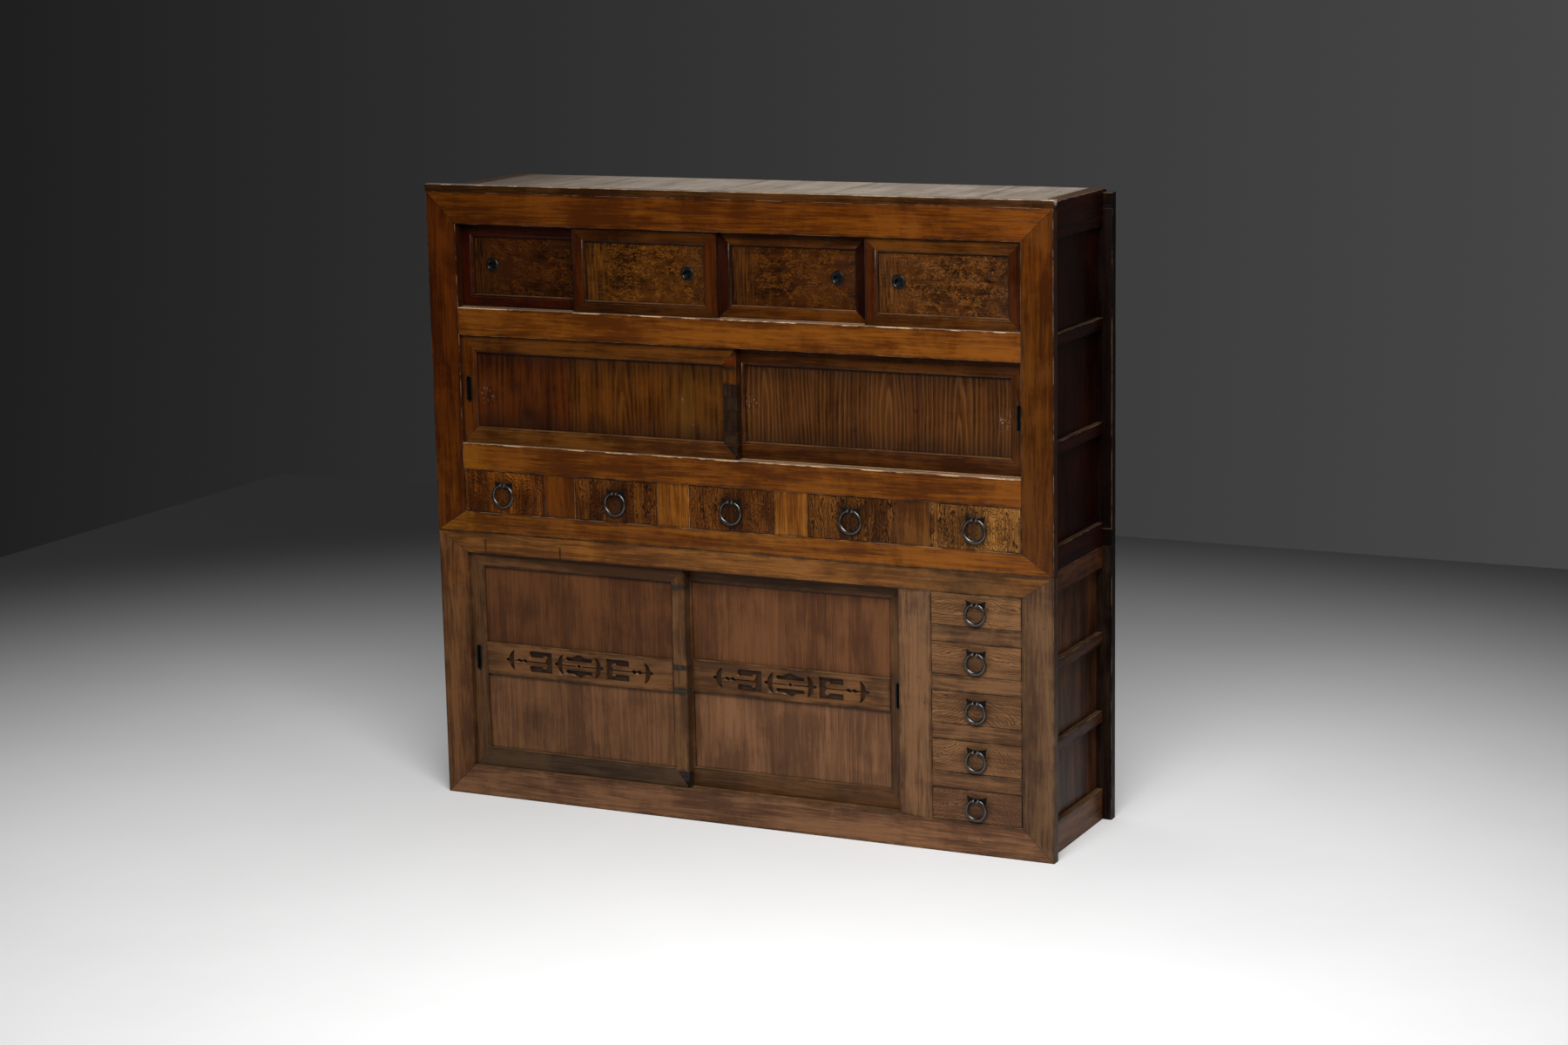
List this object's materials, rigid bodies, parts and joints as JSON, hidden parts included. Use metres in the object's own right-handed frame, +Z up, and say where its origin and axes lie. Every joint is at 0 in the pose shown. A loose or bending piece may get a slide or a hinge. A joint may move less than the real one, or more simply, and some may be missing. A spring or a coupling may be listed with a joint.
{
  "type": "mizuya kitchen cabinet",
  "caption": "Wide two-part wooden kitchen cabinet with panelled sliding doors, drawers with iron ring pulls, and pierced bands on the lower doors.",
  "frame": {"origin": "on the floor, under the middle of the cabinet's overall box, ring pulls included", "axes": "+X to the right seen from the front, the longest extent; +Y to the back, so the doors and drawers face -Y; +Z up"},
  "size_m": [1.758, 0.4522, 1.65],
  "materials": {
    "upper_frame_wood": "upper case frame, clear-brown polished softwood, worn satin",
    "lower_frame_wood": "lower case frame, reddish brown, worn satin",
    "side_wood": "blackened side rails and panels, dull",
    "back_wood": "unfinished back boards, dull",
    "top_wood": "dusty, greyed top boards, dull",
    "inside_wood": "unfinished boards, dull",
    "upper_door_wood": "upper doors, figured, polished, worn",
    "lower_door_wood": "lower doors, figured, polished, worn",
    "drawer_wood": "drawers, strongly figured fronts, polished",
    "iron": "blackened forged iron, dull"
  },
  "bodies": {
    "carcase": {"lower_front_frame": "lower_frame_wood", "upper_front_frame": "upper_frame_wood", "lower_left_side_frame": "side_wood", "lower_right_side_frame": "side_wood", "upper_left_side_frame": "side_wood", "upper_right_side_frame": "side_wood", "lower_side_panels": "side_wood", "upper_side_panels": "side_wood", "lower_back": "back_wood", "upper_back": "back_wood", "top_boards": "top_wood", "top_nosing": "upper_frame_wood", "lower_inside": "inside_wood", "upper_inside": "inside_wood"},
    "small_door_1": {"small_door_1": "upper_door_wood", "small_door_1_cup": "iron"},
    "small_door_2": {"small_door_2": "upper_door_wood", "small_door_2_cup": "iron"},
    "small_door_3": {"small_door_3": "upper_door_wood", "small_door_3_cup": "iron"},
    "small_door_4": {"small_door_4": "upper_door_wood", "small_door_4_cup": "iron"},
    "middle_door_left": {"middle_door_left": "upper_door_wood", "middle_door_left_cup": "iron"},
    "middle_door_right": {"middle_door_right": "upper_door_wood", "middle_door_right_cup": "iron"},
    "lower_door_left": {"lower_door_left": "lower_door_wood", "lower_door_left_cup": "iron"},
    "lower_door_right": {"lower_door_right": "lower_door_wood", "lower_door_right_cup": "iron"},
    "row_drawer_1": {"row_drawer_1": "drawer_wood", "row_drawer_1_plate": "iron"},
    "row_drawer_1_ring": {"row_drawer_1_ring": "iron"},
    "row_drawer_2": {"row_drawer_2": "drawer_wood", "row_drawer_2_plate": "iron"},
    "row_drawer_2_ring": {"row_drawer_2_ring": "iron"},
    "row_drawer_3": {"row_drawer_3": "drawer_wood", "row_drawer_3_plate": "iron"},
    "row_drawer_3_ring": {"row_drawer_3_ring": "iron"},
    "row_drawer_4": {"row_drawer_4": "drawer_wood", "row_drawer_4_plate": "iron"},
    "row_drawer_4_ring": {"row_drawer_4_ring": "iron"},
    "row_drawer_5": {"row_drawer_5": "drawer_wood", "row_drawer_5_plate": "iron"},
    "row_drawer_5_ring": {"row_drawer_5_ring": "iron"},
    "column_drawer_1": {"column_drawer_1": "drawer_wood", "column_drawer_1_plate": "iron"},
    "column_drawer_1_ring": {"column_drawer_1_ring": "iron"},
    "column_drawer_2": {"column_drawer_2": "drawer_wood", "column_drawer_2_plate": "iron"},
    "column_drawer_2_ring": {"column_drawer_2_ring": "iron"},
    "column_drawer_3": {"column_drawer_3": "drawer_wood", "column_drawer_3_plate": "iron"},
    "column_drawer_3_ring": {"column_drawer_3_ring": "iron"},
    "column_drawer_4": {"column_drawer_4": "drawer_wood", "column_drawer_4_plate": "iron"},
    "column_drawer_4_ring": {"column_drawer_4_ring": "iron"},
    "column_drawer_5": {"column_drawer_5": "drawer_wood", "column_drawer_5_plate": "iron"},
    "column_drawer_5_ring": {"column_drawer_5_ring": "iron"}
  },
  "joints": [
    {"name": "small_door_1_slide", "type": "slide", "parent": "carcase", "child": "small_door_1", "axis": [1, 0, 0], "range_m": [0, 0.342]},
    {"name": "small_door_2_slide", "type": "slide", "parent": "carcase", "child": "small_door_2", "axis": [-1, 0, 0], "range_m": [0, 0.342]},
    {"name": "small_door_3_slide", "type": "slide", "parent": "carcase", "child": "small_door_3", "axis": [1, 0, 0], "range_m": [0, 0.426]},
    {"name": "small_door_4_slide", "type": "slide", "parent": "carcase", "child": "small_door_4", "axis": [-1, 0, 0], "range_m": [0, 0.4095]},
    {"name": "middle_door_left_slide", "type": "slide", "parent": "carcase", "child": "middle_door_left", "axis": [1, 0, 0], "range_m": [0, 0.776]},
    {"name": "middle_door_right_slide", "type": "slide", "parent": "carcase", "child": "middle_door_right", "axis": [-1, 0, 0], "range_m": [0, 0.783]},
    {"name": "lower_door_left_slide", "type": "slide", "parent": "carcase", "child": "lower_door_left", "axis": [1, 0, 0], "range_m": [0, 0.607]},
    {"name": "lower_door_right_slide", "type": "slide", "parent": "carcase", "child": "lower_door_right", "axis": [-1, 0, 0], "range_m": [0, 0.614]},
    {"name": "row_drawer_1_slide", "type": "slide", "parent": "carcase", "child": "row_drawer_1", "axis": [0, -1, 0], "range_m": [0, 0.29]},
    {"name": "row_drawer_1_ring_swing", "type": "hinge", "parent": "row_drawer_1", "child": "row_drawer_1_ring", "pos_m": [-0.6715, -0.2219, 0.85901], "axis": [-1, 0, 0], "range_deg": [0, 90]},
    {"name": "row_drawer_2_slide", "type": "slide", "parent": "carcase", "child": "row_drawer_2", "axis": [0, -1, 0], "range_m": [0, 0.29]},
    {"name": "row_drawer_2_ring_swing", "type": "hinge", "parent": "row_drawer_2", "child": "row_drawer_2_ring", "pos_m": [-0.33575, -0.2219, 0.85901], "axis": [-1, 0, 0], "range_deg": [0, 90]},
    {"name": "row_drawer_3_slide", "type": "slide", "parent": "carcase", "child": "row_drawer_3", "axis": [0, -1, 0], "range_m": [0, 0.29]},
    {"name": "row_drawer_3_ring_swing", "type": "hinge", "parent": "row_drawer_3", "child": "row_drawer_3_ring", "pos_m": [0, -0.2219, 0.85901], "axis": [-1, 0, 0], "range_deg": [0, 90]},
    {"name": "row_drawer_4_slide", "type": "slide", "parent": "carcase", "child": "row_drawer_4", "axis": [0, -1, 0], "range_m": [0, 0.29]},
    {"name": "row_drawer_4_ring_swing", "type": "hinge", "parent": "row_drawer_4", "child": "row_drawer_4_ring", "pos_m": [0.33575, -0.2219, 0.85901], "axis": [-1, 0, 0], "range_deg": [0, 90]},
    {"name": "row_drawer_5_slide", "type": "slide", "parent": "carcase", "child": "row_drawer_5", "axis": [0, -1, 0], "range_m": [0, 0.29]},
    {"name": "row_drawer_5_ring_swing", "type": "hinge", "parent": "row_drawer_5", "child": "row_drawer_5_ring", "pos_m": [0.6715, -0.2219, 0.85901], "axis": [-1, 0, 0], "range_deg": [0, 90]},
    {"name": "column_drawer_1_slide", "type": "slide", "parent": "carcase", "child": "column_drawer_1", "axis": [0, -1, 0], "range_m": [0, 0.29]},
    {"name": "column_drawer_1_ring_swing", "type": "hinge", "parent": "column_drawer_1", "child": "column_drawer_1_ring", "pos_m": [0.671, -0.2219, 0.64501], "axis": [-1, 0, 0], "range_deg": [0, 90]},
    {"name": "column_drawer_2_slide", "type": "slide", "parent": "carcase", "child": "column_drawer_2", "axis": [0, -1, 0], "range_m": [0, 0.29]},
    {"name": "column_drawer_2_ring_swing", "type": "hinge", "parent": "column_drawer_2", "child": "column_drawer_2_ring", "pos_m": [0.671, -0.2219, 0.51941], "axis": [-1, 0, 0], "range_deg": [0, 90]},
    {"name": "column_drawer_3_slide", "type": "slide", "parent": "carcase", "child": "column_drawer_3", "axis": [0, -1, 0], "range_m": [0, 0.29]},
    {"name": "column_drawer_3_ring_swing", "type": "hinge", "parent": "column_drawer_3", "child": "column_drawer_3_ring", "pos_m": [0.671, -0.2219, 0.39381], "axis": [-1, 0, 0], "range_deg": [0, 90]},
    {"name": "column_drawer_4_slide", "type": "slide", "parent": "carcase", "child": "column_drawer_4", "axis": [0, -1, 0], "range_m": [0, 0.29]},
    {"name": "column_drawer_4_ring_swing", "type": "hinge", "parent": "column_drawer_4", "child": "column_drawer_4_ring", "pos_m": [0.671, -0.2219, 0.26821], "axis": [-1, 0, 0], "range_deg": [0, 90]},
    {"name": "column_drawer_5_slide", "type": "slide", "parent": "carcase", "child": "column_drawer_5", "axis": [0, -1, 0], "range_m": [0, 0.29]},
    {"name": "column_drawer_5_ring_swing", "type": "hinge", "parent": "column_drawer_5", "child": "column_drawer_5_ring", "pos_m": [0.671, -0.2219, 0.14261], "axis": [-1, 0, 0], "range_deg": [0, 90]}
  ]
}
